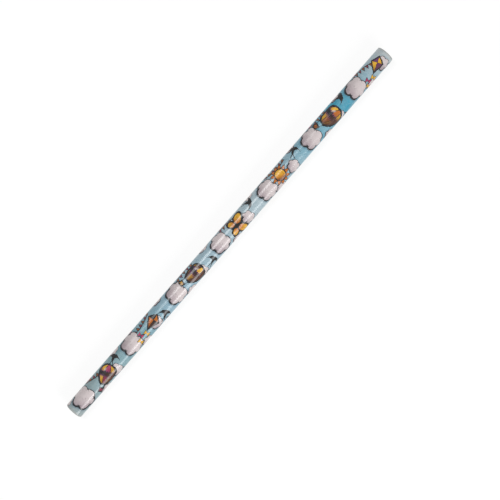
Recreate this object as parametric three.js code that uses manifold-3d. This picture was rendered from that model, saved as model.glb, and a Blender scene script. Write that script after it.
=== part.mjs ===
// A round wooden pencil, not yet sharpened, lying on its side along X with its ends cut square.
// Two grooved slats are glued round a graphite lead and turned to a round casing with softened
// end edges. A white base coat covers the wood, and a printed film is wrapped over that. The film
// laps over itself in a straight seam low on the back, and is drawn in over both end edges.

import * as THREE from "three";
import { mergeVertices } from "three/addons/utils/BufferGeometryUtils.js";
import Module from "manifold-3d";

// Driving dimensions, in millimetres and degrees
const PENCIL_LENGTH = 177.8;
const LEAD_DIAMETER = 2.0;
const GLUE_LINE = 0.06;
const CASING_DIAMETER = 6.76;
const END_EDGE_RADIUS = 0.45;
const BASE_COAT_THICKNESS = 0.06;
const FILM_THICKNESS = 0.06;
const FILM_TURN_IN_ANGLE = 48;
const LAP_WIDTH = 1.6;
const LAP_ANGLE = 36;

// Fineness of the round surfaces. The casing has four times a whole number plus two sides, so that
// corners lie on the glue plane and a flat faces straight down.
const CASING_SIDES = 66;
const LEAD_SIDES = 34;
const EDGE_STEPS = 3;

// Angles round the pencil run from the back, +Y, over the top.
const STRAIGHT_DOWN = 270;

const casingRadius = CASING_DIAMETER / 2;
const leadRadius = LEAD_DIAMETER / 2;
const grooveRadius = leadRadius + GLUE_LINE;
const filmTurnIn = THREE.MathUtils.degToRad(FILM_TURN_IN_ANGLE);
const quarterTurn = Math.PI / 2;

// Heights above the turned wood, where one layer ends and the next one starts
const filmInside = BASE_COAT_THICKNESS;
const filmOutside = filmInside + FILM_THICKNESS;
const lapOutside = filmOutside + FILM_THICKNESS;

// The pencil rests on the flat that faces straight down.
const restHeight = (casingRadius + filmOutside) * Math.cos(Math.PI / CASING_SIDES);

const wasm = await Module();
wasm.setup();

function toSolid(geometry) {
  const bare = geometry.clone().deleteAttribute("normal").deleteAttribute("uv");
  const merged = mergeVertices(bare);
  const vertProperties = new Float32Array(merged.attributes.position.array);
  const triVerts = new Uint32Array(merged.index.array);
  return new wasm.Manifold(new wasm.Mesh({ numProp: 3, vertProperties, triVerts }));
}

function toGeometry(solid) {
  const mesh = solid.getMesh();
  const geometry = new THREE.BufferGeometry();
  geometry.setAttribute("position", new THREE.BufferAttribute(mesh.vertProperties, 3));
  geometry.setIndex(new THREE.BufferAttribute(mesh.triVerts, 1));
  const faceted = geometry.toNonIndexed();
  faceted.computeVertexNormals();
  return faceted;
}

// Round bodies are turned about X. A profile is a list of points (radius, x).
const latheToPencil = new THREE.Matrix4().makeBasis(
  new THREE.Vector3(0, 0, 1),
  new THREE.Vector3(1, 0, 0),
  new THREE.Vector3(0, 1, 0),
);

function turned(profile, sides = CASING_SIDES) {
  return new THREE.LatheGeometry(profile, sides).applyMatrix4(latheToPencil);
}

// Long bodies of one section are drawn in the YZ plane and run along X, centred.
const sectionToPencil = new THREE.Matrix4().makeBasis(
  new THREE.Vector3(0, 1, 0),
  new THREE.Vector3(0, 0, 1),
  new THREE.Vector3(1, 0, 0),
);

function alongPencil(section, length) {
  return new THREE.ExtrudeGeometry(section, { depth: length, steps: 1, bevelEnabled: false })
    .translate(0, 0, -length / 2)
    .applyMatrix4(sectionToPencil);
}

function roundBar(radius, length, sides = CASING_SIDES) {
  const profile = [
    new THREE.Vector2(0, -length / 2),
    new THREE.Vector2(radius, -length / 2),
    new THREE.Vector2(radius, length / 2),
    new THREE.Vector2(0, length / 2),
  ];
  return turned(profile, sides);
}

// Points on the softened edge of the +X end, at a height above the wood, from one angle of the
// edge's arc to another. Angle 0 is where the arc leaves the side of the casing.
function endEdge(height, from, to) {
  const arcRadius = END_EDGE_RADIUS + height;
  const points = [];
  for (let step = 0; step <= EDGE_STEPS; step++) {
    const angle = from + ((to - from) * step) / EDGE_STEPS;
    points.push(
      new THREE.Vector2(
        casingRadius - END_EDGE_RADIUS + arcRadius * Math.cos(angle),
        PENCIL_LENGTH / 2 - END_EDGE_RADIUS + arcRadius * Math.sin(angle),
      ),
    );
  }
  return points;
}

function mirrored(points) {
  return points.map((point) => new THREE.Vector2(point.x, -point.y)).reverse();
}

// The wood as it comes off the machine: round, with both end edges softened.
function casingEnvelope() {
  const coveredEdge = endEdge(0, 0, filmTurnIn);
  const bareEdge = endEdge(0, filmTurnIn, quarterTurn).slice(1);
  const edge = [...coveredEdge, ...bareEdge];
  const end = [...edge, new THREE.Vector2(0, PENCIL_LENGTH / 2)];
  return turned([...mirrored(end), ...end]);
}

// A skin between two heights above the wood, drawn in over both end edges.
function skin(insideHeight, outsideHeight) {
  const outside = endEdge(outsideHeight, 0, filmTurnIn);
  const inside = endEdge(insideHeight, 0, filmTurnIn);
  const outline = [...mirrored(outside), ...outside, ...[...inside].reverse()];
  outline.push(...[...mirrored(inside)].reverse(), outline[0].clone());
  return turned(outline);
}

function ringPoint(radius, side) {
  const angle = (side / CASING_SIDES) * 2 * Math.PI;
  return new THREE.Vector2(radius * Math.cos(angle), radius * Math.sin(angle));
}

// Where the film lies double: from the free edge, a straight step, up the back to the hidden edge,
// over which the upper layer slopes. Both edges fall on corners of the round. The lap's angle is
// measured from straight down towards the back.
function lapBand() {
  const sideAngle = 360 / CASING_SIDES;
  const sideWidth = (2 * Math.PI * casingRadius) / CASING_SIDES;
  const freeEdge = Math.round((STRAIGHT_DOWN + LAP_ANGLE) / sideAngle);
  const sidesDouble = Math.max(1, Math.round(LAP_WIDTH / sideWidth));
  const lowest = casingRadius + filmInside + FILM_THICKNESS / 2;
  const outline = [];
  for (let side = 0; side <= sidesDouble; side++) {
    outline.push(ringPoint(casingRadius + lapOutside, freeEdge + side));
  }
  for (let side = sidesDouble + 1; side >= 0; side--) {
    outline.push(ringPoint(lowest, freeEdge + side));
  }
  return alongPencil(new THREE.Shape(outline), PENCIL_LENGTH - 2 * END_EDGE_RADIUS);
}

// A board as wide as the casing, between two heights, for one layer of the glued sandwich
function board(low, high, length) {
  const width = CASING_DIAMETER + 2 * GLUE_LINE;
  return new THREE.BoxGeometry(length, width, high - low).translate(0, 0, (low + high) / 2);
}

function buildCasing() {
  const envelope = toSolid(casingEnvelope());
  const throughLength = PENCIL_LENGTH + 2 * END_EDGE_RADIUS;
  const groove = toSolid(roundBar(grooveRadius, throughLength, LEAD_SIDES));
  const leadSpace = toSolid(roundBar(leadRadius, throughLength, LEAD_SIDES));
  const half = GLUE_LINE / 2;
  const outerHalf = casingRadius + GLUE_LINE;
  const upperBoard = toSolid(board(half, outerHalf, throughLength));
  const lowerBoard = toSolid(board(-outerHalf, -half, throughLength));
  const glueBoard = toSolid(board(-half, half, throughLength));
  return {
    upper: upperBoard.intersect(envelope).subtract(groove),
    lower: lowerBoard.intersect(envelope).subtract(groove),
    glue: glueBoard.add(groove).intersect(envelope).subtract(leadSpace),
  };
}

function buildFilm() {
  return toSolid(skin(filmInside, filmOutside)).add(toSolid(lapBand()));
}

const graphite = new THREE.MeshStandardMaterial({ color: 0x3a3a3e, roughness: 0.45, metalness: 0.2 });
const wood = new THREE.MeshStandardMaterial({ color: 0xd9b98c, roughness: 0.8, metalness: 0 });
const driedGlue = new THREE.MeshStandardMaterial({ color: 0xe6d9b8, roughness: 0.6, metalness: 0 });
const whiteCoat = new THREE.MeshStandardMaterial({ color: 0xeeebe6, roughness: 0.5, metalness: 0 });
const printedFilm = new THREE.MeshStandardMaterial({ color: 0x8fb4bf, roughness: 0.22, metalness: 0 });

const pencil = new THREE.Group();
pencil.position.z = restHeight;

function addPiece(name, geometry, material) {
  const mesh = new THREE.Mesh(geometry, material);
  mesh.name = name;
  pencil.add(mesh);
}

const casing = buildCasing();
addPiece("lead", roundBar(leadRadius, PENCIL_LENGTH, LEAD_SIDES), graphite);
addPiece("glue_bond", toGeometry(casing.glue), driedGlue);
addPiece("casing_upper", toGeometry(casing.upper), wood);
addPiece("casing_lower", toGeometry(casing.lower), wood);
addPiece("base_coat", skin(0, filmInside), whiteCoat);
addPiece("printed_wrap", toGeometry(buildFilm()), printedFilm);

export default pencil;
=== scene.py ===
# A round wooden pencil, new and not yet sharpened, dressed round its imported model.
# Lengths are in metres, as a number of millimetres times MM, except in the materials, which are
# drawn in millimetres. The pencil lies along X. Angles round it run from the back, +Y, over the
# top.

import math

import bmesh
import bpy
from mathutils import Color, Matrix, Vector, noise


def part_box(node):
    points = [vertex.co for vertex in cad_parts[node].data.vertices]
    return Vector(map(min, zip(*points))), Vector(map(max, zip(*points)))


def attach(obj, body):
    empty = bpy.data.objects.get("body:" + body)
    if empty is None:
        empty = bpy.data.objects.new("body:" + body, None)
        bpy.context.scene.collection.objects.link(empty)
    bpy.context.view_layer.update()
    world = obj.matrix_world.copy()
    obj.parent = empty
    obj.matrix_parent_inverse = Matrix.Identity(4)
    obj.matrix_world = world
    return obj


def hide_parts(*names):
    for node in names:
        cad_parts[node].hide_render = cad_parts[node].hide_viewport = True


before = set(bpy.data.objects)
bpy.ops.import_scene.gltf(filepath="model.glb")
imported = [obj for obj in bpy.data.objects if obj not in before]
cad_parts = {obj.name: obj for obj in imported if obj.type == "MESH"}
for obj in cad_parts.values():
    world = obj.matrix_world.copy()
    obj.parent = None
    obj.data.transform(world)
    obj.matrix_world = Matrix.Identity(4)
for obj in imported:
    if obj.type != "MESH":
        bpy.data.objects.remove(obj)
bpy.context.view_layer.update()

MM = 0.001
FULL_TURN = 2 * math.pi
QUARTER_TURN = math.pi / 2


# Sizes of the pencil's layers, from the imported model

def half_width(node):
    low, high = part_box(node)
    return (high.y - low.y) / 2


lead_low, lead_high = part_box("lead")
half_length = (lead_high.x - lead_low.x) / 2
axis_height = (lead_low.z + lead_high.z) / 2
lead_radius = half_width("lead")
wood_radius = half_width("casing_upper")
film_inside = half_width("base_coat")
film_outside = half_width("printed_wrap")
film_thickness = film_outside - film_inside
glue_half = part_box("casing_upper")[0].z - axis_height
groove_radius = lead_radius + 2 * glue_half

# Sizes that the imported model's boxes don't give, the same as in the solids
END_EDGE_RADIUS = 0.45 * MM
FILM_TURN_IN = math.radians(48)
LAP_WIDTH = 1.6 * MM
LAP_SLOPE = 0.35 * MM
LAP_FROM_BOTTOM = math.radians(36)
free_edge = -QUARTER_TURN + LAP_FROM_BOTTOM

# Sizes in millimetres, for the materials
half_length_mm = half_length / MM
film_radius_mm = film_outside / MM

# The photograph's view: from straight above, with the +X end at the top right of the picture
PENCIL_ANGLE_IN_PICTURE = math.radians(48.9)
CAMERA_DISTANCE = 435.4 * MM
FIELD_OF_VIEW = math.radians(24.3)
VIEW_CENTRE_BESIDE_AXIS = 10.1 * MM
NEAREST_SEEN = 10 * MM


def add_object(name, data):
    item = bpy.data.objects.new(name, data)
    bpy.context.scene.collection.objects.link(item)
    return item


def make_camera():
    data = bpy.data.cameras.new("camera")
    data.angle = FIELD_OF_VIEW
    data.clip_start = NEAREST_SEEN
    camera = add_object("camera", data)
    camera.location = (0, -VIEW_CENTRE_BESIDE_AXIS, axis_height + CAMERA_DISTANCE)
    camera.rotation_euler = (0, 0, -PENCIL_ANGLE_IN_PICTURE)
    bpy.context.scene.camera = camera


# Node trees, written as sums

# The sockets for colours on a mix node: its two inputs and its result
MIX_UNDER = 6
MIX_OVER = 7
MIX_RESULT = 2


class Wire:
    """One output of a node tree. Sums with wires add the nodes that work them out."""

    def __init__(self, tree, socket):
        self.tree = tree
        self.socket = socket

    def math(self, operation, *others):
        values = dict(enumerate((self, *others)))
        return add_node(self.tree, "ShaderNodeMath", values, operation=operation)

    def __add__(self, other):
        return self.math("ADD", other)

    def __sub__(self, other):
        return self.math("SUBTRACT", other)

    def __mul__(self, other):
        return self.math("MULTIPLY", other)

    def __truediv__(self, other):
        return self.math("DIVIDE", other)

    def __neg__(self):
        return self.math("MULTIPLY", -1.0)

    def __abs__(self):
        return self.math("ABSOLUTE")


def add_node(tree, kind, inputs, output=0, **settings):
    """Adds a node with its settings and inputs, linked or set, and gives one of its outputs."""
    node = tree.nodes.new(kind)
    for name, value in settings.items():
        setattr(node, name, value)
    for key, value in inputs.items():
        if isinstance(value, Wire):
            feed(node, key, value)
        else:
            node.inputs[key].default_value = value
    return Wire(tree, node.outputs[output])


def feed(node, socket, wire):
    wire.tree.links.new(wire.socket, node.inputs[socket])


def paint(red, green, blue):
    """A colour as a picture gives it, from 0 to 255, made linear."""
    return (*Color((red / 255, green / 255, blue / 255)).from_srgb_to_scene_linear(), 1.0)


def ramp(value, low, high, start=0.0, end=1.0):
    """Goes smoothly from start to end while value goes from low to high."""
    inputs = {"Value": value, "From Min": low, "From Max": high, "To Min": start, "To Max": end}
    return add_node(value.tree, "ShaderNodeMapRange", inputs, interpolation_type="SMOOTHSTEP")


def fade(value, low, high, most=1.0):
    """Goes smoothly from most to 0 while value goes from low to high."""
    return ramp(value, low, high, most, 0.0)


def mix(amount, under, over):
    """A colour with another one laid over it, by an amount from 0 to 1."""
    inputs = {0: amount, MIX_UNDER: under, MIX_OVER: over}
    return add_node(amount.tree, "ShaderNodeMix", inputs, MIX_RESULT, data_type="RGBA")


def vector(x, y, z=0.0):
    return add_node(x.tree, "ShaderNodeCombineXYZ", {0: x, 1: y, 2: z})


def parts(wire):
    """The three parts of a vector or a colour."""
    node = wire.tree.nodes.new("ShaderNodeSeparateXYZ")
    feed(node, 0, wire)
    return [Wire(wire.tree, socket) for socket in node.outputs]


def vector_math(operation, first, second, output=0):
    inputs = {0: first, 1: second}
    return add_node(first.tree, "ShaderNodeVectorMath", inputs, output, operation=operation)


def reach_along(place, axis):
    return vector_math("DOT_PRODUCT", place, axis, "Value")


def distance(place, other):
    return vector_math("DISTANCE", place, other, "Value")


def length(place):
    return add_node(place.tree, "ShaderNodeVectorMath", {0: place}, "Value", operation="LENGTH")


def flat_parts(wire):
    """The first two parts of a vector. They come from dot products, because the unused third
    output of a separating node would take up room in the shader."""
    return [reach_along(wire, axis) for axis in ((1.0, 0.0, 0.0), (0.0, 1.0, 0.0))]


def grain(place, scale, detail=2.0, roughness=0.5, output="Fac"):
    """Noise from 0 to 1, with scale features to a millimetre."""
    inputs = {"Vector": place, "Scale": scale, "Detail": detail, "Roughness": roughness}
    return add_node(place.tree, "ShaderNodeTexNoise", inputs, output)


def joined(operation, wires):
    result = wires[0]
    for wire in wires[1:]:
        result = result.math(operation, wire)
    return result


def smallest(*wires):
    return joined("MINIMUM", wires)


def largest(*wires):
    return joined("MAXIMUM", wires)


# The print's drawing tools. Places in a motif are (up, across), in millimetres from its middle,
# and up is along the pencil. A distance is below 0 inside a shape.

SOFT_EDGE = 0.035
INK = paint(18, 20, 24)
CLOUD_LIGHT = paint(208, 197, 197)
CLOUD_SHADE = paint(166, 151, 156)
CLOUD_HALO = paint(62, 104, 126)
YELLOW = paint(228, 174, 46)
ORANGE = paint(190, 106, 28)
BROWN = paint(80, 42, 20)
PURPLE = paint(104, 46, 100)
MAGENTA = paint(168, 50, 94)
BLACK = paint(10, 8, 8)


def fill(edge_distance, edge=SOFT_EDGE):
    """1 inside a shape and 0 outside it."""
    return fade(edge_distance, -edge, edge)


def stroke(edge_distance, half_width_mm, edge=SOFT_EDGE):
    """1 on a line along a shape's edge and 0 beside it."""
    return fill(abs(edge_distance) - half_width_mm, edge)


def uneven(pressure, spread):
    """The drawing hand's pressure as an amount about 0, with this much from least to most."""
    return (pressure - 0.5) * spread


def circle(place, up, across, radius):
    return distance(place, (up, across, 0.0)) - radius


def turned(place, turn, high, wide):
    """A place seen from turned axes, on which high and wide are one unit long. It takes dot
    products, because the shader has no room for many mapping nodes."""
    up_axis = (math.cos(turn) / high, math.sin(turn) / high, 0.0)
    across_axis = (-math.sin(turn) / wide, math.cos(turn) / wide, 0.0)
    return vector(reach_along(place, up_axis), reach_along(place, across_axis))


def oval(place, up, across, high, wide, turn=0.0):
    """The distance to an oval's edge, from its middle, its half height and width and its turn."""
    local = turned(vector_math("SUBTRACT", place, (up, across, 0.0)), turn, high, wide)
    return (length(local) - 1.0) * min(high, wide)


def capsule(place, start, end, radius):
    """The distance to a round-ended bar between two places."""
    up, across = flat_parts(place)
    long_up = end[0] - start[0]
    long_across = end[1] - start[1]
    square = long_up ** 2 + long_across ** 2
    share = (up - start[0]) * (long_up / square) + (across - start[1]) * (long_across / square)
    share = share.math("MAXIMUM", 0.0).math("MINIMUM", 1.0)
    nearest = vector(share * long_up + start[0], share * long_across + start[1])
    return distance(place, nearest) - radius


# The motifs. Every painter takes the same wires, also where it has no use for one: the place in
# the motif, the hand's pressure from 0 to 1, the colour under it, and the motif's two colours.

# A cloud's lobes, as (up, across, radius)
LOBES = (
    (0.2, -3.1, 2.2),
    (2.1, -1.4, 2.6),
    (1.8, 1.7, 2.9),
    (0.1, 3.5, 2.0),
    (-1.9, -1.3, 2.6),
    (-2.1, 1.7, 2.4),
)


def paint_cloud(place, pressure, under, main, halo):
    """A heap of round lobes in a halo, with ink round the heap and hooks where lobes meet."""
    up, across = flat_parts(place)
    reaches = [circle(place, *lobe) for lobe in LOBES]
    heap = smallest(*reaches)
    near_side = ramp(up + across * 0.5, -3.5, 2.0, 0.6, 0.15)
    picture = mix(fade(heap, 0.1, 1.5) * near_side, under, halo)
    shade = fade(up + across * 0.35 + uneven(pressure, 3.0), -4.6, 1.4)
    rim_light = ramp(heap, -1.1, -0.2, 0.0, 0.5)
    body = mix(shade, main, CLOUD_SHADE)
    body = mix(rim_light * ramp(up, -0.5, 2.0), body, CLOUD_LIGHT)
    picture = mix(fill(heap), picture, body)
    ink_width = ramp(up + across * 0.5, -3.0, 2.5, 0.42, 0.16) + uneven(pressure, 0.25)
    for reach, (lobe_up, lobe_across, _) in zip(reaches, LOBES):
        others = smallest(*(other for other in reaches if other is not reach))
        outward = up * math.copysign(1.0, lobe_up) + across * math.copysign(0.5, lobe_across)
        hook = stroke(reach, ink_width * 0.7) * ramp(others, -1.3, -0.2) * ramp(outward, 0.0, 1.2)
        picture = mix(hook * fill(heap) * 0.9, picture, INK)
    return mix(stroke(heap, ink_width), picture, INK)


BALLOON_RADIUS = 3.1
BALLOON_MIDDLE = 1.3
BALLOON_MOUTH = -2.9
DRAWN_OUT_BELOW = 1.45
BELT_HEIGHT = 0.1
BELT_TOOTH = 0.7


def paint_balloon(place, pressure, under, main, second):
    """A hot-air balloon with gores, a zigzag belt, ropes and a basket."""
    up, across = flat_parts(place)
    height = (up - BALLOON_MIDDLE) / BALLOON_RADIUS
    height = largest(height, height / DRAWN_OUT_BELOW)
    side = across / (height * 0.2 + 1.0) / BALLOON_RADIUS
    reach = length(vector(height, side))
    envelope = largest((reach - 1.0) * BALLOON_RADIUS, -up + BALLOON_MOUTH)
    cloth = balloon_cloth(place, pressure, height, side, main, second)
    picture = hang_basket(place, under, second)
    picture = mix(fill(envelope), picture, cloth)
    return mix(stroke(envelope, pressure * 0.3 + 0.16), picture, INK)


def balloon_cloth(place, pressure, height, side, main, second):
    """Gores of two colours with inked seams, a belt, a darker side and a patch of light. Height
    and side are shares of the envelope's radius."""
    round_side = (side / (-(height * height) + 1.02).math("SQRT")).math("ARCSINE")
    gores = (round_side * 5.0).math("COSINE")
    colour = mix(ramp(gores, -0.08, 0.08), main, second)
    zigzag = (round_side * 10.0).math("PINGPONG", 1.0) * BELT_TOOTH
    from_belt = abs(height * BALLOON_RADIUS - BELT_HEIGHT + zigzag)
    colour = mix(fade(from_belt, 0.85, 0.95), colour, PURPLE)
    colour = mix(fade(from_belt, 0.5, 0.6), colour, BLACK)
    colour = mix(stroke(gores, 0.28, 0.1) * 0.9, colour, INK)
    lit = height * 0.5 + side * 0.75 + uneven(pressure, 0.5)
    colour = mix(ramp(lit, -0.85, 0.5), BROWN, colour)
    shine = oval(place, BALLOON_MIDDLE + 1.1, 1.15, 0.95, 0.5, -0.6)
    return mix(fade(shine, -0.5, 0.1, 0.75), colour, CLOUD_LIGHT)


def hang_basket(place, under, cane_colour):
    """A cane basket on two ropes."""
    up, across = flat_parts(place)
    ropes = [capsule(place, (-2.7, side), (-4.6, side * 0.75), 0.09) for side in (-1, 1)]
    picture = mix(fill(smallest(*ropes)), under, INK)
    basket = largest(abs(up + 5.2) - 0.72, abs(across) - 0.85)
    weave = (up * 9.0).math("SINE") * (across * 9.0).math("SINE")
    cane = mix(ramp(weave, -0.4, 0.4), cane_colour, BROWN)
    picture = mix(fill(basket), picture, cane)
    return mix(stroke(basket, 0.24), picture, INK)


def paint_butterfly(place, pressure, under, main, second):
    """A butterfly from above: four dark-edged wings with veins, a dark body and two feelers. Both
    sides are drawn as one, folded at the body."""
    up, across = flat_parts(place)
    folded = vector(up, abs(across))
    top_wing = oval(folded, 1.3, 1.75, 2.3, 1.6, 0.8)
    low_wing = oval(folded, -1.35, 1.25, 1.75, 1.3, -0.7)
    wings = smallest(top_wing, low_wing)
    from_middle = length(folded)
    colour = mix(ramp(from_middle + uneven(pressure, 1.5), 0.8, 3.0), main, second)
    veins = abs((across.math("ARCTAN2", up) * 6.5).math("SINE"))
    colour = mix(fade(veins * from_middle, 0.15, 0.5, 0.85), colour, BROWN)
    between_wings = stroke(top_wing - low_wing, 0.22)
    colour = mix(largest(ramp(wings, -0.6, -0.4), between_wings), colour, BLACK)
    picture = mix(fill(wings), under, colour)
    body = oval(folded, -0.15, 0.0, 2.0, 0.42)
    feeler = capsule(folded, (1.4, 0.12), (3.1, 0.9), 0.12)
    return mix(fill(smallest(body, feeler)), picture, BLACK)


KITE_TOP = 3.1
KITE_CROSS = 0.9
KITE_LOW = -2.9
KITE_HALF_WIDTH = 2.15
TAIL_END = -8.2
TAIL_PACE = 1.5
TAIL_SWING = 0.75
BOWS = ((-4.2, YELLOW), (-5.9, MAGENTA), (-7.6, YELLOW))


def paint_kite(place, pressure, under, main, second):
    """A kite of four panels, with a wavy tail and bows."""
    up, across = flat_parts(place)
    side = abs(across)
    edges = []
    for tip in (KITE_TOP, KITE_LOW):
        rise = tip - KITE_CROSS
        past_tip = (up - tip) * math.copysign(KITE_HALF_WIDTH, rise)
        edges.append((past_tip + side * abs(rise)) / math.hypot(KITE_HALF_WIDTH, rise))
    outline = largest(*edges)
    quarter = ((up - KITE_CROSS) * across).math("GREATER_THAN", 0.0)
    colour = mix(quarter, main, second)
    shade = fade(up + across + uneven(pressure, 2.0), -3.0, 1.5, 0.8)
    colour = mix(shade, colour, BROWN)
    colour = mix(stroke(smallest(side, abs(up - KITE_CROSS)), 0.06), colour, INK)
    picture = kite_tail(up, across, under)
    picture = mix(fill(outline), picture, colour)
    return mix(stroke(outline, 0.24), picture, INK)


def kite_tail(up, across, under):
    """A wavy string with bows on it."""
    off_string = across - ((up - KITE_LOW) * TAIL_PACE).math("SINE") * TAIL_SWING
    past_ends = largest(up - KITE_LOW, -up + TAIL_END)
    picture = mix(fill(largest(abs(off_string) - 0.1, past_ends)), under, INK)
    for bow, bow_colour in BOWS:
        bow_side = math.sin((bow - KITE_LOW) * TAIL_PACE) * TAIL_SWING
        reach = abs(across - bow_side)
        shape = largest(abs(up - bow) - reach * 0.8 - 0.1, reach - 1.0)
        picture = mix(fill(shape), picture, bow_colour)
        picture = mix(stroke(shape, 0.08), picture, INK)
    return picture


SUN_RAYS = 11
SUN_RADIUS = 1.75


def paint_sun(place, pressure, under, main, second):
    """A sun of two colours, with pointed rays and a curl."""
    up, across = flat_parts(place)
    reach = length(place)
    compass = across.math("ARCTAN2", up)
    ray = (compass * (SUN_RAYS / FULL_TURN)).math("PINGPONG", 0.5)
    rays = reach - (ray * -2.6 + 3.2)
    picture = mix(fill(rays), under, second)
    picture = mix(stroke(rays, 0.17), picture, INK)
    body = mix(ramp(up + across, -2.2, 1.5), second, main)
    shade = fade(up * 0.8 + across + uneven(pressure, 1.5), -2.1, 0.2, 0.85)
    body = mix(shade, body, BROWN)
    disc = reach - SUN_RADIUS
    picture = mix(fill(disc), picture, body)
    curl = stroke(reach - 0.95 + compass * 0.12, 0.05) * fade(across, -0.4, 0.4, 0.7)
    picture = mix(curl, picture, BROWN)
    return mix(stroke(disc, 0.18), picture, INK)


def paint_toy_balloon(place, pressure, under, main, second):
    """A small round balloon on a curling string."""
    up, across = flat_parts(place)
    curl = ((up + 0.9) * 2.1).math("SINE") * 0.32
    string = largest(abs(across - curl) - 0.05, abs(up + 2.8) - 1.9)
    picture = mix(fill(string), under, INK)
    knot = largest(abs(up + 1.0) - 0.25, abs(across) - 0.24)
    picture = mix(fill(knot), picture, INK)
    colour = mix(fade(up + across * 1.3, -1.6, 1.6), main, second)
    shine = oval(place, 1.6, 0.55, 0.5, 0.28, -0.5)
    colour = mix(fade(shine, -0.2, 0.08, 0.9), colour, CLOUD_LIGHT)
    outline = oval(place, 0.9, 0.0, 1.7, 1.4)
    picture = mix(fill(outline), picture, colour)
    return mix(stroke(outline, 0.2), picture, INK)


HALF_WINGSPAN = 2.55


def paint_bird(place, pressure, under, main, second):
    """A swallow from above: wings swept back to their tips, a plump body and a forked tail."""
    up, across = flat_parts(place)
    side = abs(across)
    sweep = side * (side * -0.42 + 0.75) + 0.35
    wing = abs(up - sweep) - ramp(side, 0.1, 2.6, 0.72, 0.06)
    wings = largest(wing, side - HALF_WINGSPAN)
    body = oval(place, 0.1, 0.0, 1.35, 0.52)
    fork = largest(abs(side + (up + 0.9) * 0.4) - 0.15, abs(up + 1.6) - 0.95)
    return mix(fill(smallest(wings, body, fork)), under, main)


PENNANT_STEP = 1.7
PENNANT_DROP = 1.7
PENNANT_HALF_WIDTH = 0.42 * PENNANT_STEP
STRING_HALF_LENGTH = 5.1
STRING_SAG = 0.9


def paint_pennants(place, pressure, under, main, second):
    """A slack string of pennants, of two colours in turn."""
    up, across = flat_parts(place)
    sag = (up * (QUARTER_TURN / STRING_HALF_LENGTH)).math("COSINE") * STRING_SAG
    off_string = across - sag
    beside = abs((up / PENNANT_STEP).math("FRACT") - 0.5) * PENNANT_STEP
    taper = (off_string + PENNANT_DROP) * (PENNANT_HALF_WIDTH / PENNANT_DROP)
    past_ends = abs(up) - STRING_HALF_LENGTH
    flag = largest(beside - taper, off_string, past_ends)
    turn = (up / (2 * PENNANT_STEP)).math("FRACT").math("GREATER_THAN", 0.5)
    colour = mix(turn, main, second)
    shade = fade(-off_string + uneven(pressure, 1.5), 0.1, PENNANT_DROP, 0.75)
    colour = mix(shade, colour, BROWN)
    picture = mix(fill(flag), under, colour)
    picture = mix(stroke(flag, 0.14), picture, INK)
    return mix(fill(largest(abs(off_string) - 0.13, past_ends)), picture, INK)


# A painter's wires as the sockets of its node group, with their kinds
MOTIF_SOCKETS = {
    "Place": "Vector",
    "Pressure": "Float",
    "Under": "Color",
    "Main": "Color",
    "Second": "Color",
}


def motif_group(painter):
    """A node group that paints one motif over the colour under it."""
    tree = bpy.data.node_groups.new(painter.__name__, "ShaderNodeTree")
    for label, kind in MOTIF_SOCKETS.items():
        tree.interface.new_socket(label, in_out="INPUT", socket_type="NodeSocket" + kind)
    tree.interface.new_socket("Picture", in_out="OUTPUT", socket_type="NodeSocketColor")
    entry = tree.nodes.new("NodeGroupInput")
    picture = painter(*(Wire(tree, entry.outputs[label]) for label in MOTIF_SOCKETS))
    feed(tree.nodes.new("NodeGroupOutput"), "Picture", picture)
    return tree


# The print repeats in cells, seven along the pencil by two round it. The first column's middles
# lie over the top of the pencil, the second column's under it and half a cell off along it. A
# motif in a cell has its own chance shift, turn and size.

CELLS = 7
COLUMNS = 2
cell_length = 2 * half_length_mm / CELLS
round_length = FULL_TURN * film_radius_mm
cell_width = round_length / COLUMNS
top_of_film = (QUARTER_TURN - free_edge) * film_radius_mm

# How much chance shifts and sizes differ from the least to the most
SHIFT_ALONG = 2.4
SHIFT_AROUND = 0.8
SIZE_SPREAD = 0.12


class Cells:
    """The cells seen from a place on the film, with a place inside the cell and chance values."""

    def __init__(self, film_place, shift_along=0.0, shift_around=0.0):
        along, around = flat_parts(film_place)
        low = -cell_width / 2
        beside = (around - (top_of_film + shift_around)).math("WRAP", low + round_length, low)
        self.column = (beside / cell_width + 0.5).math("FLOOR")
        staggered = along - shift_along + self.column * (cell_length / 2)
        self.number = (staggered / cell_length + CELLS / 2).math("FLOOR")
        inside_along = staggered - (self.number - (CELLS - 1) / 2) * cell_length
        self.inside = vector(inside_along, beside - self.column * cell_width)
        middle = along - inside_along
        self.whole = abs(middle).math("LESS_THAN", half_length_mm - cell_length / 4)

    def chance(self, seed):
        """Three values from 0 to 1 that differ from cell to cell."""
        corner = vector(self.number, self.column, seed)
        return parts(add_node(corner.tree, "ShaderNodeTexWhiteNoise", {"Vector": corner}, "Color"))

    def is_kind(self, kind, kinds):
        """1 in the cells that show this kind in turn. The last term keeps the sum above 0."""
        turn = (self.number * 2 + self.column * 3 + 10 * kinds).math("MODULO", kinds)
        return turn.math("COMPARE", kind, 0.5)

    def spot(self, seed, along, around, size, most_turn):
        """The place seen from a motif's own middle, with its chance shift, turn and size."""
        first, second, third = self.chance(seed)
        moved_along = first * SHIFT_ALONG + (along - SHIFT_ALONG / 2)
        moved_around = second * SHIFT_AROUND + (around - SHIFT_AROUND / 2)
        moved = vector(moved_along, moved_around)
        local = vector_math("SUBTRACT", self.inside, moved)
        turned_in = {"Vector": local, "Angle": (third - 0.5) * (2 * most_turn)}
        local = add_node(local.tree, "ShaderNodeVectorRotate", turned_in, rotation_type="Z_AXIS")
        scale = (second * SIZE_SPREAD + (1.0 - SIZE_SPREAD / 2)) / size
        flipped = scale * (first.math("GREATER_THAN", 0.5) * 2.0 - 1.0)
        return vector_math("MULTIPLY", local, vector(scale, flipped))


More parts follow.
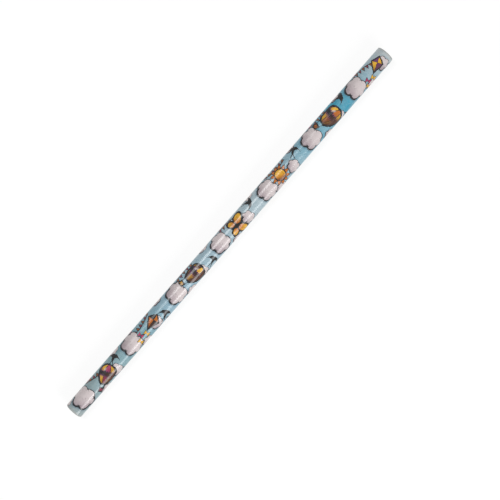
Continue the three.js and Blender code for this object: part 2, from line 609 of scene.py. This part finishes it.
def stamp(painter, spot, pressure, under, main, second, mask=None):
    """Paints one kind of motif into its cells, over the colour under it."""
    group = bpy.data.node_groups.get(painter.__name__) or motif_group(painter)
    inputs = dict(zip(MOTIF_SOCKETS, (spot, pressure, under, main, second)))
    picture = add_node(spot.tree, "ShaderNodeGroup", inputs, "Picture", node_tree=group)
    return mix(mask, under, picture) if mask else picture


# The bigger motifs, one kind to a cell in turn, as (painter, main colours, second colours, size,
# place along). The first or the second of two colours is taken by chance.
BIG_MOTIFS = (
    (paint_balloon, (YELLOW, YELLOW), (ORANGE, MAGENTA), 1.1, 5.8),
    (paint_butterfly, (YELLOW, ORANGE), (ORANGE, YELLOW), 1.3, 4.2),
    (paint_kite, (YELLOW, ORANGE), (PURPLE, BLACK), 1.1, 6.8),
    (paint_sun, (YELLOW, YELLOW), (ORANGE, ORANGE), 1.25, 3.8),
    (paint_balloon, (ORANGE, BROWN), (YELLOW, YELLOW), 1.05, 5.6),
)


def draw_small_motifs(cells, pressure, colour):
    """A small cloud, and a swallow or a toy balloon in turn."""
    cloud = cells.spot(seed=5.0, along=-3.0, around=0.0, size=0.5, most_turn=0.5)
    colour = stamp(paint_cloud, cloud, pressure, colour, CLOUD_LIGHT, CLOUD_HALO)
    small = cells.spot(seed=6.0, along=6.5, around=0.0, size=0.9, most_turn=0.7)
    colour = stamp(paint_bird, small, pressure, colour, BLACK, BLACK, cells.is_kind(0, 2))
    balloons = cells.is_kind(1, 2)
    return stamp(paint_toy_balloon, small, pressure, colour, MAGENTA, PURPLE, balloons)


def draw_background(cells, pressure, colour):
    """A far cloud and a string of pennants."""
    cloud = cells.spot(seed=30.0, along=8.6, around=1.9, size=0.52, most_turn=0.4)
    colour = stamp(paint_cloud, cloud, pressure, colour, CLOUD_LIGHT, CLOUD_HALO)
    pennants = cells.spot(seed=33.0, along=2.6, around=-3.0, size=1.0, most_turn=0.3)
    return stamp(paint_pennants, pennants, pressure, colour, ORANGE, MAGENTA)


def draw_swallow(cells, pressure, colour):
    """A swallow on one side or the other, left out where an end of the pencil would cut it."""
    either_side = cells.chance(32.0)[0].math("ROUND") * 4.6 - 2.3
    swallow = cells.spot(seed=31.0, along=0.0, around=either_side, size=1.18, most_turn=0.9)
    return stamp(paint_bird, swallow, pressure, colour, BLACK, BLACK, cells.whole)


def draw_foreground(cells, pressure, colour):
    """A cloud, and one of the bigger motifs in turn."""
    cloud = cells.spot(seed=7.0, along=-5.2, around=0.0, size=0.84, most_turn=0.25)
    colour = stamp(paint_cloud, cloud, pressure, colour, CLOUD_LIGHT, CLOUD_HALO)
    for kind, (painter, mains, seconds, size, along) in enumerate(BIG_MOTIFS):
        spot = cells.spot(seed=8.0 + kind, along=along, around=0.3, size=size, most_turn=0.4)
        choice = cells.chance(20.0 + kind)[0].math("GREATER_THAN", 0.5)
        main = mix(choice, *mains)
        second = mix(choice, *seconds)
        mask = cells.is_kind(kind, len(BIG_MOTIFS))
        colour = stamp(painter, spot, pressure, colour, main, second, mask)
    return colour


def draw_motifs(film_place, pressure, colour):
    """All the motifs of the print over the sky, in three sets of cells that cross each other."""
    cells = Cells(film_place)
    between = Cells(film_place, shift_along=4.0, shift_around=cell_width / 2)
    gaps = Cells(film_place, shift_along=cell_length / 2)
    colour = draw_small_motifs(between, pressure, colour)
    colour = draw_background(cells, pressure, colour)
    colour = draw_swallow(gaps, pressure, colour)
    return draw_foreground(cells, pressure, colour)


# Materials

def object_place(tree):
    return add_node(tree, "ShaderNodeTexCoord", {}, "Object")


def new_material(name, **settings):
    """A material, its principled shader, and a place on the pencil in millimetres from the middle
    of its axis. Settings go straight on the shader's sockets."""
    material = bpy.data.materials.new(name)
    material.use_nodes = True
    tree = material.node_tree
    shader = tree.nodes["Principled BSDF"]
    for label, value in settings.items():
        shader.inputs[label].default_value = value
    centred = vector_math("SUBTRACT", object_place(tree), (0.0, 0.0, axis_height))
    inputs = {0: centred, "Scale": 1 / MM}
    return material, shader, add_node(tree, "ShaderNodeVectorMath", inputs, operation="SCALE")


def bump(height, shader, depth):
    """Raises the surface by height, which runs from 0 to 1, times a depth in millimetres."""
    inputs = {"Height": height, "Strength": 1.0, "Distance": depth * MM}
    feed(shader, "Normal", add_node(height.tree, "ShaderNodeBump", inputs))


# The sky's colours, and where along the pencil each one is purest, as a share of the length
GREY_TEAL = paint(156, 166, 165)
DEEP_TEAL = paint(104, 150, 158)
SOFT_BLUE = paint(142, 175, 191)
PALE_BLUE = paint(176, 191, 197)
BRIGHT_BLUE = paint(24, 150, 178)
MIST = paint(190, 196, 197)
SKY = (
    (0.00, GREY_TEAL),
    (0.19, DEEP_TEAL),
    (0.30, SOFT_BLUE),
    (0.60, PALE_BLUE),
    (0.85, BRIGHT_BLUE),
    (1.00, MIST),
)
BILLOW = paint(168, 191, 199)
DARK_STROKE = paint(62, 116, 140)
LIGHT_STROKE = paint(206, 218, 222)


def sky(place, along, around, pressure):
    """The airbrushed ground of the print, with billows and slanting strokes."""
    node = place.tree.nodes.new("ShaderNodeValToRGB")
    stops = node.color_ramp.elements
    while len(stops) < len(SKY):
        stops.new(0.5)
    for stop, (share, colour) in zip(stops, SKY):
        stop.position = share
        stop.color = colour
    share = along / (2 * half_length_mm) + 0.5 + uneven(pressure, 0.06)
    feed(node, 0, share)
    colour = Wire(place.tree, node.outputs["Color"])
    billows = grain(place, 0.16, 3.0)
    colour = mix(ramp(billows, 0.35, 0.75, 0.0, 0.4), colour, BILLOW)
    slanting = vector(along * 0.35 + around * 0.5, around * 3.2 - along * 2.2)
    strokes = grain(slanting, 1.0, 3.0)
    colour = mix(ramp(strokes, 0.42, 0.72, 0.0, 0.28), colour, DARK_STROKE)
    return mix(fade(strokes, 0.2, 0.46, 0.18), colour, LIGHT_STROKE)


# How far askew the film is wound on, and how far its drawn lines wander
FILM_SKEW = 0.5
HAND_WOBBLE = 0.42
INK_SPECK = paint(60, 70, 80)
STRETCHED_FILM = paint(166, 168, 166)
CUT_FILM = paint(214, 214, 208)


def drawn_by_hand(flat):
    """A place on the film, moved about a little so that no drawn line is quite true."""
    wobble = grain(flat, 0.8, 1.0, output="Color")
    wobble = vector_math("SUBTRACT", wobble, (0.5, 0.5, 0.5))
    wobble = vector_math("MULTIPLY", wobble, (HAND_WOBBLE, HAND_WOBBLE, 0.0))
    return vector_math("ADD", flat, wobble)


def pale_edges(x, past_edge, colour):
    """The film's colour, duller where it is stretched over an end edge and pale at its cut."""
    stretched = ramp(abs(x), half_length_mm - 1.0, half_length_mm - 0.25, 0.0, 0.7)
    colour = mix(stretched, colour, STRETCHED_FILM)
    from_cut = abs(past_edge.math("WRAP", math.pi, -math.pi)) * film_radius_mm
    return mix(fade(from_cut, 0.015, 0.05, 0.8), colour, CUT_FILM)


def film_material():
    """Glossy film with the print, wound on a little askew from its free edge."""
    material, shader, place = new_material("printed film", IOR=1.42)
    x, y, z = parts(place)
    past_edge = (z.math("ARCTAN2", y) - free_edge).math("WRAP", FULL_TURN, 0.0)
    around = past_edge * film_radius_mm
    along = x + past_edge * (FILM_SKEW / FULL_TURN) - FILM_SKEW / 2
    film_place = drawn_by_hand(vector(along, around))
    pressure = grain(place, 0.9, 3.0)
    colour = sky(place, along, around, pressure)
    colour = draw_motifs(film_place, pressure, colour)
    specks = grain(place, 9.0)
    colour = mix(ramp(specks, 0.3, 0.7, 0.0, 0.1), colour, INK_SPECK)
    feed(shader, "Base Color", pale_edges(x, past_edge, colour))
    smears = grain(vector(x * 0.12, y, z), 1.1, 4.0)
    feed(shader, "Roughness", ramp(smears, 0.25, 0.8, 0.2, 0.25))
    peel = grain(vector(x * 0.25, y, z), 0.55, 2.0, 0.4)
    bump(peel, shader, 0.004)
    return material


RINGS_TO_A_MM = 1.25
SAW_TURN = 1.15
EARLY_WOOD = paint(226, 200, 160)
LATE_WOOD = paint(176, 132, 86)
WOOD_RAY = paint(236, 214, 180)
WOOD_PORE = paint(140, 100, 62)
SAW_MARK = paint(150, 112, 76)
LEAD_SMUDGE = paint(112, 106, 100)


def wood_pores(x, y, z):
    inputs = {"Vector": vector(x * 0.06, y, z), "Scale": 9.0, "Randomness": 0.85}
    from_pore = add_node(x.tree, "ShaderNodeTexVoronoi", inputs, "Distance")
    return fade(from_pore, 0.08, 0.3)


def saw_marks_on(x, y, z):
    """Marks along the saw's way over the end face."""
    over_marks = y * math.cos(SAW_TURN) + z * math.sin(SAW_TURN)
    along_marks = z * math.cos(SAW_TURN) - y * math.sin(SAW_TURN)
    return grain(vector(over_marks * 7.0, along_marks * 0.35, x * 0.3), 1.0, 4.0)


def wood_material(name, pith, tint):
    """Bare end grain: growth rings round the pith, rays from it, pores, saw marks and smudges."""
    material, shader, place = new_material(name, IOR=1.45)
    x, y, z = parts(place)
    off_y = y - pith[0]
    off_z = z - pith[1]
    reach = length(vector(off_y, off_z)) + grain(place, 0.5) * 0.5
    year = (reach * RINGS_TO_A_MM).math("FRACT")
    late = ramp(year, 0.35, 0.95) * fade(year, 0.95, 1.0)
    early_colour = mix(grain(place, 0.6), tint, EARLY_WOOD)
    colour = mix(late * 0.75, early_colour, LATE_WOOD)
    compass = off_z.math("ARCTAN2", off_y)
    rays = grain(vector(compass * 260.0, reach * 0.6, x * 0.02), 1.0)
    colour = mix(ramp(rays, 0.55, 0.75, 0.0, 0.45), colour, WOOD_RAY)
    pores = wood_pores(x, y, z)
    colour = mix(pores * 0.55, colour, WOOD_PORE)
    saw_marks = saw_marks_on(x, y, z)
    colour = mix(ramp(saw_marks, 0.55, 0.8, 0.0, 0.3), colour, SAW_MARK)
    from_axis = length(vector(y, z)) + grain(place, 1.4) * 1.2
    colour = mix(fade(from_axis, 1.3, 2.6, 0.5), colour, LEAD_SMUDGE)
    feed(shader, "Base Color", colour)
    feed(shader, "Roughness", ramp(saw_marks, 0.2, 0.8, 0.86, 0.66))
    bump(saw_marks * 0.5 + late * 0.3 - pores * 0.6, shader, 0.03)
    return material


def graphite_material():
    """The sawn end of a fired lead: dark, with a dull metal shine and fine scratches."""
    material, shader, place = new_material("graphite", Metallic=0.35, IOR=1.7)
    x, y, z = parts(place)
    speck = grain(place, 7.0, 4.0, 0.7)
    scratches = grain(vector(y * 12.0, z * 0.7, x), 1.0, 3.0)
    colour = mix(ramp(speck, 0.35, 0.7), paint(46, 46, 50), paint(92, 92, 98))
    colour = mix(ramp(scratches, 0.6, 0.8, 0.0, 0.5), colour, paint(128, 128, 134))
    feed(shader, "Base Color", colour)
    feed(shader, "Roughness", ramp(speck, 0.3, 0.7, 0.55, 0.34))
    bump(speck * 0.6 + scratches * 0.5, shader, 0.02)
    return material


def glue_material():
    """Dried wood glue, pale straw with a few cloudy stretches."""
    material, shader, place = new_material("dried glue", IOR=1.48)
    cloudy = grain(place, 1.5, 3.0)
    colour = mix(ramp(cloudy, 0.35, 0.7), paint(206, 180, 128), paint(232, 216, 178))
    feed(shader, "Base Color", colour)
    feed(shader, "Roughness", ramp(cloudy, 0.3, 0.7, 0.3, 0.5))
    bump(cloudy, shader, 0.01)
    return material


def coat_material():
    """White primer in thin coats, with the faint rings that dipping and wiping leave."""
    material, shader, place = new_material("white coat", IOR=1.5)
    x, y, z = parts(place)
    wiped = grain(vector(x * 4.0, y * 0.4, z * 0.4), 1.0, 3.0)
    colour = mix(ramp(wiped, 0.3, 0.75), paint(240, 238, 232), paint(224, 221, 213))
    feed(shader, "Base Color", colour)
    feed(shader, "Roughness", ramp(wiped, 0.3, 0.75, 0.38, 0.55))
    bump(wiped, shader, 0.008)
    return material


# Meshes

EDGE_STEPS = 7
SHARP_ANGLE = math.radians(34)
SAME_POINT = 0.00001 * MM
BAKE_MAP = "OFBake"


def build_piece(node, points, faces, corners, material):
    """Makes the piece that stands for a node, with the map that its pattern is baked to."""
    name = "dressed_" + node
    mesh = bpy.data.meshes.new(name)
    mesh.from_pydata(points, [], faces)
    layer = mesh.uv_layers.new(name=BAKE_MAP)
    flat = [value for face_corners in corners for corner in face_corners for value in corner]
    layer.uv.foreach_set("vector", flat)
    mesh.materials.append(material)
    form = bmesh.new()
    form.from_mesh(mesh)
    bmesh.ops.remove_doubles(form, verts=form.verts, dist=SAME_POINT)
    bmesh.ops.recalc_face_normals(form, faces=form.faces)
    form.to_mesh(mesh)
    form.free()
    mesh.shade_smooth()
    mesh.set_sharp_from_angle(angle=SHARP_ANGLE)
    piece = add_object(name, mesh)
    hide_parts(node)
    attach(piece, "root")


def smooth(share):
    """Goes smoothly from 0 to 1 while share does."""
    share = min(max(share, 0.0), 1.0)
    return share * share * (3 - 2 * share)


def on_pencil(x, radius, angle):
    return (x, radius * math.cos(angle), axis_height + radius * math.sin(angle))


# Skins on the wood: the coat and the film

ROUND_STEPS = 132
FILM_STEPS = 360
COAT_STEPS = 24
COAT_TURN_IN = FILM_TURN_IN + math.radians(5)
END_WAVER = math.radians(3)
RIPPLE = 0.006 * MM
RIPPLE_FADE = 2 * MM

# The angle between a skin's last ring of points and its first, which is the cut at the free edge
CUT_ANGLE = 0.0015


def edge_arc(radius, turn_in):
    """The softened edge of the +X end at a skin's radius, as (x, radius), from the side inwards."""
    reach = END_EDGE_RADIUS + radius - wood_radius
    arc = []
    for step in range(EDGE_STEPS + 1):
        angle = turn_in * step / EDGE_STEPS
        x = half_length - END_EDGE_RADIUS + reach * math.sin(angle)
        arc.append((x, wood_radius - END_EDGE_RADIUS + reach * math.cos(angle)))
    return arc


def mirrored(arc):
    return [(-x, radius) for x, radius in arc]


def side_run(top, spin, ripple, length_steps):
    """The outside of a skin between its end edges, which the ripple keeps from being quite true."""
    half_side = half_length - END_EDGE_RADIUS
    run = []
    for station in range(1, length_steps):
        x = half_side * (2 * station / length_steps - 1)
        swell = noise.noise(Vector((x / MM * 0.11, spin[0] * 1.3, spin[1] * 1.3)))
        run.append((x, top + ripple * swell * smooth((half_side - abs(x)) / RIPPLE_FADE)))
    return run


def skin_outline(top, inside, turn_in, angle, ripple, length_steps):
    """A skin's outline at one angle: the outside from the -X end to the +X end, and back inside.
    How far it is drawn in over an end edge wavers with the angle."""
    spin = (math.cos(angle), math.sin(angle))
    ends = []
    for side in (-1, 1):
        waver = noise.noise(Vector((spin[0] * 2.4, spin[1] * 2.4, side * 3.0)))
        ends.append(turn_in + END_WAVER * waver)
    outside = [
        *mirrored(reversed(edge_arc(top, ends[0]))),
        *side_run(top, spin, ripple, length_steps),
        *edge_arc(top, ends[1]),
    ]
    return outside + [*reversed(edge_arc(inside, ends[1])), *mirrored(edge_arc(inside, ends[0]))]


def build_skin(node, inside, outside, rise, turn_in, ripple, length_steps, material):
    """A closed skin, drawn in over both softened end edges. It starts at the film's free edge,
    and rise says how far it stands up at an angle past that edge."""
    points = []
    for step in range(ROUND_STEPS + 1):
        past = min(FULL_TURN * step / ROUND_STEPS, FULL_TURN - CUT_ANGLE)
        angle = free_edge + past
        top = outside + rise(past)
        outline = skin_outline(top, inside, turn_in, angle, ripple, length_steps)
        points.extend(on_pencil(x, radius, angle) for x, radius in outline)
    ring_count = ROUND_STEPS + 1
    outline_count = len(outline)
    outer_faces = 2 * EDGE_STEPS + length_steps
    faces, corners = [], []
    for ring in range(ring_count):
        here = ring * outline_count
        there = (ring + 1) % ring_count * outline_count
        low = ring / ring_count
        high = (ring + 1) / ring_count
        for spot in range(outline_count):
            after = (spot + 1) % outline_count
            faces.append((here + spot, here + after, there + after, there + spot))
            corners.append(skin_corners(spot, outer_faces, outline_count, low, high))
    build_piece(node, points, faces, corners, material)


# A skin on its bake map: its outside in rows, and the rest in one thin row above them
BAKE_ROWS = 3
BAKE_GAP = 0.005
INNER_ROW = 0.03


def skin_corners(spot, outer_faces, outline_count, low, high):
    """Where a face lies on the map, from its place in the outline and the shares of the way round
    at which it starts and ends."""
    if spot < outer_faces:
        row = spot * BAKE_ROWS // outer_faces
        first = math.ceil(row * outer_faces / BAKE_ROWS)
        count = math.ceil((row + 1) * outer_faces / BAKE_ROWS) - first
        row_height = (1 - INNER_ROW) / BAKE_ROWS
        row_bottom = row * row_height
    else:
        first = outer_faces
        count = outline_count - outer_faces
        row_height = INNER_ROW
        row_bottom = 1 - INNER_ROW
    bottom = row_bottom + BAKE_GAP
    height = row_height - 2 * BAKE_GAP
    width = (1 - 2 * BAKE_GAP) / count
    left = BAKE_GAP + (spot - first) * width
    right = left + width
    low = bottom + low * height
    high = bottom + high * height
    return ((left, low), (right, low), (right, high), (left, high))


def lap_rise(past):
    """How far the film stands up where it lies double."""
    beyond = past * film_outside - LAP_WIDTH
    return film_thickness * (1 - smooth(beyond / LAP_SLOPE))


# Bars: the slats and the lead

SLAT_FACE_ROWS = 26
SLAT_COLUMNS = 120
LEAD_ROWS = 16
LEAD_COLUMNS = 96
GRAIN_RELIEF = 0.012 * MM
LEAD_BELOW_WOOD = 0.02 * MM
LEAD_ROUGHNESS = 0.01 * MM
RIM_START = 0.86
RIM_WEAR = 0.02 * MM
RIM_CRUMBLED = 0.12 * MM

# A bar on its bake map: its two ends round their middles, and its walls in a strip above them
SLAT_ENDS_ON_MAP = ((0.5, 0.02), (0.5, 0.47))
LEAD_ENDS_ON_MAP = ((0.25, 0.4), (0.75, 0.4))
SLAT_WIDTH_ON_MAP = 0.96
LEAD_RADIUS_ON_MAP = 0.24
WALLS_LOW = 0.94
WALLS_HIGH = 0.99
WALLS_SIDES = (0.01, 0.99)

# The corners of a grid's squares, as steps in row and column
SQUARE = ((0, 0), (0, 1), (1, 1), (1, 0))


class Bar:
    """A bar with a fine grid of points on each end and plain walls between. Its grid_point gives
    a place, as (x inwards from the end, y, z), for a side of -1 or 1, a row and a column."""

    def __init__(self, grid_point, rows, columns):
        self.grid_point = grid_point
        self.rows = rows
        self.columns = columns
        self.points = []
        self.faces = []
        self.corners = []
        for side in (-1, 1):
            for row in range(rows + 1):
                for column in range(columns + 1):
                    inset, y, z = grid_point(side, row, column)
                    self.points.append((side * (half_length - inset), y, z + axis_height))

    def index(self, side, row, column):
        first = 0 if side < 0 else (self.rows + 1) * (self.columns + 1)
        return first + row * (self.columns + 1) + column

    def add_ends(self, middles, scale, up=1):
        """Adds both end faces, with their up side up on the map."""
        for side, middle in zip((-1, 1), middles):
            for row in range(self.rows):
                for column in range(self.columns):
                    spots = [(row + out, column + on) for out, on in SQUARE]
                    self.faces.append([self.index(side, *spot) for spot in spots])
                    places = [self.grid_point(side, *spot) for spot in spots]
                    on_map = [(y * scale, z * up * scale) for _, y, z in places]
                    self.corners.append([(middle[0] + u, middle[1] + v) for u, v in on_map])

    def outer_loop(self):
        """The spots along the outside of an end's grid."""
        return [(self.rows, column) for column in range(self.columns + 1)]

    def whole_loop(self):
        """The spots round the whole grid: the outside, one flat, the groove and the other flat."""
        return [
            *self.outer_loop(),
            *((row, self.columns) for row in range(self.rows - 1, -1, -1)),
            *((0, column) for column in range(self.columns - 1, -1, -1)),
            *((row, 0) for row in range(1, self.rows + 1)),
        ]

    def add_walls(self, loop):
        """Adds faces from end to end along a loop of spots."""
        strip = (WALLS_HIGH - WALLS_LOW) / (len(loop) - 1)
        left, right = WALLS_SIDES
        for step, (here, there) in enumerate(zip(loop, loop[1:])):
            low = WALLS_LOW + strip * step
            high = low + strip
            ends = ((-1, here), (-1, there), (1, there), (1, here))
            self.faces.append([self.index(side, *spot) for side, spot in ends])
            self.corners.append(((left, low), (left, high), (right, high), (right, low)))


def build_slat(node, up, pith, material):
    """Half of the casing, with its groove, softened edges and a sawn end grain in low relief."""
    face_radius = wood_radius - END_EDGE_RADIUS

    def relief(side, y, z):
        reach = math.hypot(y / MM - pith[0], z / MM - pith[1])
        year = (reach * RINGS_TO_A_MM) % 1.0
        torn = noise.noise(Vector((y / MM * 2.6, z / MM * 2.6, side * 5.0)))
        return GRAIN_RELIEF * (smooth(year / 0.9) + 0.5 + torn)

    def grid_point(side, row, column):
        if row <= SLAT_FACE_ROWS:
            radius = groove_radius + (face_radius - groove_radius) * row / SLAT_FACE_ROWS
            inset = 0.0
        else:
            arc = QUARTER_TURN * (1 - (row - SLAT_FACE_ROWS) / EDGE_STEPS)
            radius = face_radius + END_EDGE_RADIUS * math.cos(arc)
            inset = END_EDGE_RADIUS * (1 - math.sin(arc))
        start = math.asin(glue_half / radius)
        angle = start + (math.pi - 2 * start) * column / SLAT_COLUMNS
        y = radius * math.cos(angle)
        z = radius * math.sin(angle) * up
        if row < SLAT_FACE_ROWS:
            inset += relief(side, y, z)
        return inset, y, z

    slat = Bar(grid_point, SLAT_FACE_ROWS + EDGE_STEPS, SLAT_COLUMNS)
    slat.add_ends(SLAT_ENDS_ON_MAP, SLAT_WIDTH_ON_MAP / (2 * wood_radius), up)
    slat.add_walls(slat.whole_loop())
    build_piece(node, slat.points, slat.faces, slat.corners, material)


def build_lead(material):
    """The lead, with a sawn face a hair below the wood and a rim that has crumbled in places."""

    def grid_point(side, row, column):
        share = row / LEAD_ROWS
        angle = FULL_TURN * column / LEAD_COLUMNS
        across = math.cos(angle)
        high = math.sin(angle)
        y = lead_radius * share * across
        z = lead_radius * share * high
        rough = noise.noise(Vector((y / MM * 4.0, z / MM * 4.0, side * 7.0)))
        crumbled = max(0.0, noise.noise(Vector((across * 2.5, high * 2.5, side * 2.0))))
        rim = smooth((share - RIM_START) / (1 - RIM_START))
        inset = LEAD_BELOW_WOOD + LEAD_ROUGHNESS * rough
        inset += rim * (RIM_WEAR + RIM_CRUMBLED * crumbled)
        return inset, y, z

    lead = Bar(grid_point, LEAD_ROWS, LEAD_COLUMNS)
    lead.add_ends(LEAD_ENDS_ON_MAP, LEAD_RADIUS_ON_MAP / lead_radius)
    lead.add_walls(lead.outer_loop())
    build_piece("lead", lead.points, lead.faces, lead.corners, material)


# Light and stage. The lamps are as far from the pencil as in a small studio, one nearly above it
# towards the back and one low at the front, so that each draws its own long highlight.

LAMP_DISTANCE = 600 * MM

# Each lamp's name, its lean in degrees, its middle along the pencil, its size along and across,
# and its radiance
LAMPS = (
    ("strip lamp", 24.5, -5 * MM, 180 * MM, 240 * MM, 10.8),
    ("side lamp", -57, -90 * MM, 320 * MM, 274 * MM, 8.2),
)


def add_lamp(name, lean_degrees, along_middle, along, across, radiance):
    """A soft box aimed at the pencil. It leans from straight above towards the back, +Y."""
    data = bpy.data.lights.new(name, "AREA")
    data.shape = "RECTANGLE"
    data.size = along
    data.size_y = across
    data.energy = radiance * math.pi * along * across
    lamp = add_object(name, data)
    lean = math.radians(lean_degrees)
    towards = Vector((0, math.sin(lean), math.cos(lean)))
    lamp.location = towards * LAMP_DISTANCE + Vector((along_middle, 0, axis_height))
    lamp.rotation_mode = "QUATERNION"
    lamp.rotation_quaternion = towards.to_track_quat("Z", "Y")


def seen_rays(tree):
    """1 for rays from the camera, from gloss or through glass, which see the white background."""
    node = tree.nodes.new("ShaderNodeLightPath")
    labels = ("Is Camera Ray", "Is Glossy Ray", "Is Transmission Ray")
    return largest(*(Wire(tree, node.outputs[label]) for label in labels))


# The strength of the world's light on the pencil. Where the world is seen, its strength is 1.
FILL_LIGHT = 0.34


def make_world():
    world = bpy.data.worlds.new("studio")
    bpy.context.scene.world = world
    world.use_nodes = True
    background = world.node_tree.nodes["Background"]
    background.inputs["Color"].default_value = (1.0, 1.0, 1.0, 1.0)
    strength = seen_rays(world.node_tree) * (1.0 - FILL_LIGHT) + FILL_LIGHT
    feed(background, "Strength", strength)


FLOOR_HALF = 1500 * MM
FLOOR_GREY = (0.8, 0.8, 0.8, 1.0)
SHADOW_GREY = (0.16, 0.16, 0.16, 1.0)
NEAR_FLOOR = 150 * MM
FAR_FLOOR = 900 * MM
NEAR_FLOOR_GLOW = 0.86
FAR_FLOOR_GLOW = 0.94


def floor_material():
    """Plain grey for the light that it throws. Where it is seen, it glows nearly white, and a dark
    grey under the glow takes the pencil's shadow."""
    material = bpy.data.materials.new("floor")
    material.use_nodes = True
    tree = material.node_tree
    tree.nodes.clear()
    plain = add_node(tree, "ShaderNodeBsdfDiffuse", {"Color": FLOOR_GREY})
    shadowed = add_node(tree, "ShaderNodeBsdfDiffuse", {"Color": SHADOW_GREY})
    reach = length(object_place(tree))
    strength = ramp(reach, NEAR_FLOOR, FAR_FLOOR, NEAR_FLOOR_GLOW, FAR_FLOOR_GLOW)
    glow = add_node(tree, "ShaderNodeEmission", {"Strength": strength})
    seen = add_node(tree, "ShaderNodeAddShader", {0: shadowed, 1: glow})
    surface = add_node(tree, "ShaderNodeMixShader", {0: seen_rays(tree), 1: plain, 2: seen})
    feed(tree.nodes.new("ShaderNodeOutputMaterial"), "Surface", surface)
    return material


def make_floor():
    mesh = bpy.data.meshes.new("floor")
    sides = ((-1, -1), (1, -1), (1, 1), (-1, 1))
    points = [(FLOOR_HALF * x, FLOOR_HALF * y, 0) for x, y in sides]
    mesh.from_pydata(points, [], [(0, 1, 2, 3)])
    mesh.materials.append(floor_material())
    floor = add_object("floor", mesh)


# The scene

# The pith of each slat's tree, as (y, z) in millimetres from the pencil's axis
UPPER_PITH = (-7.0, 15.0)
LOWER_PITH = (12.0, -19.0)

make_camera()
upper_wood = wood_material("upper slat", UPPER_PITH, paint(214, 182, 138))
lower_wood = wood_material("lower slat", LOWER_PITH, paint(206, 172, 128))
build_slat("casing_upper", 1, UPPER_PITH, upper_wood)
build_slat("casing_lower", -1, LOWER_PITH, lower_wood)
build_lead(graphite_material())
build_skin(
    "base_coat", wood_radius, film_inside, lambda past: 0.0,
    COAT_TURN_IN, 0.0, COAT_STEPS, coat_material(),
)
build_skin(
    "printed_wrap", film_inside, film_outside, lap_rise,
    FILM_TURN_IN, RIPPLE, FILM_STEPS, film_material(),
)
for glue_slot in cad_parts["glue_bond"].material_slots:
    glue_slot.material = glue_material()

for lamp in LAMPS:
    add_lamp(*lamp)
make_world()
make_floor()
bpy.context.scene.view_settings.view_transform = "Standard"
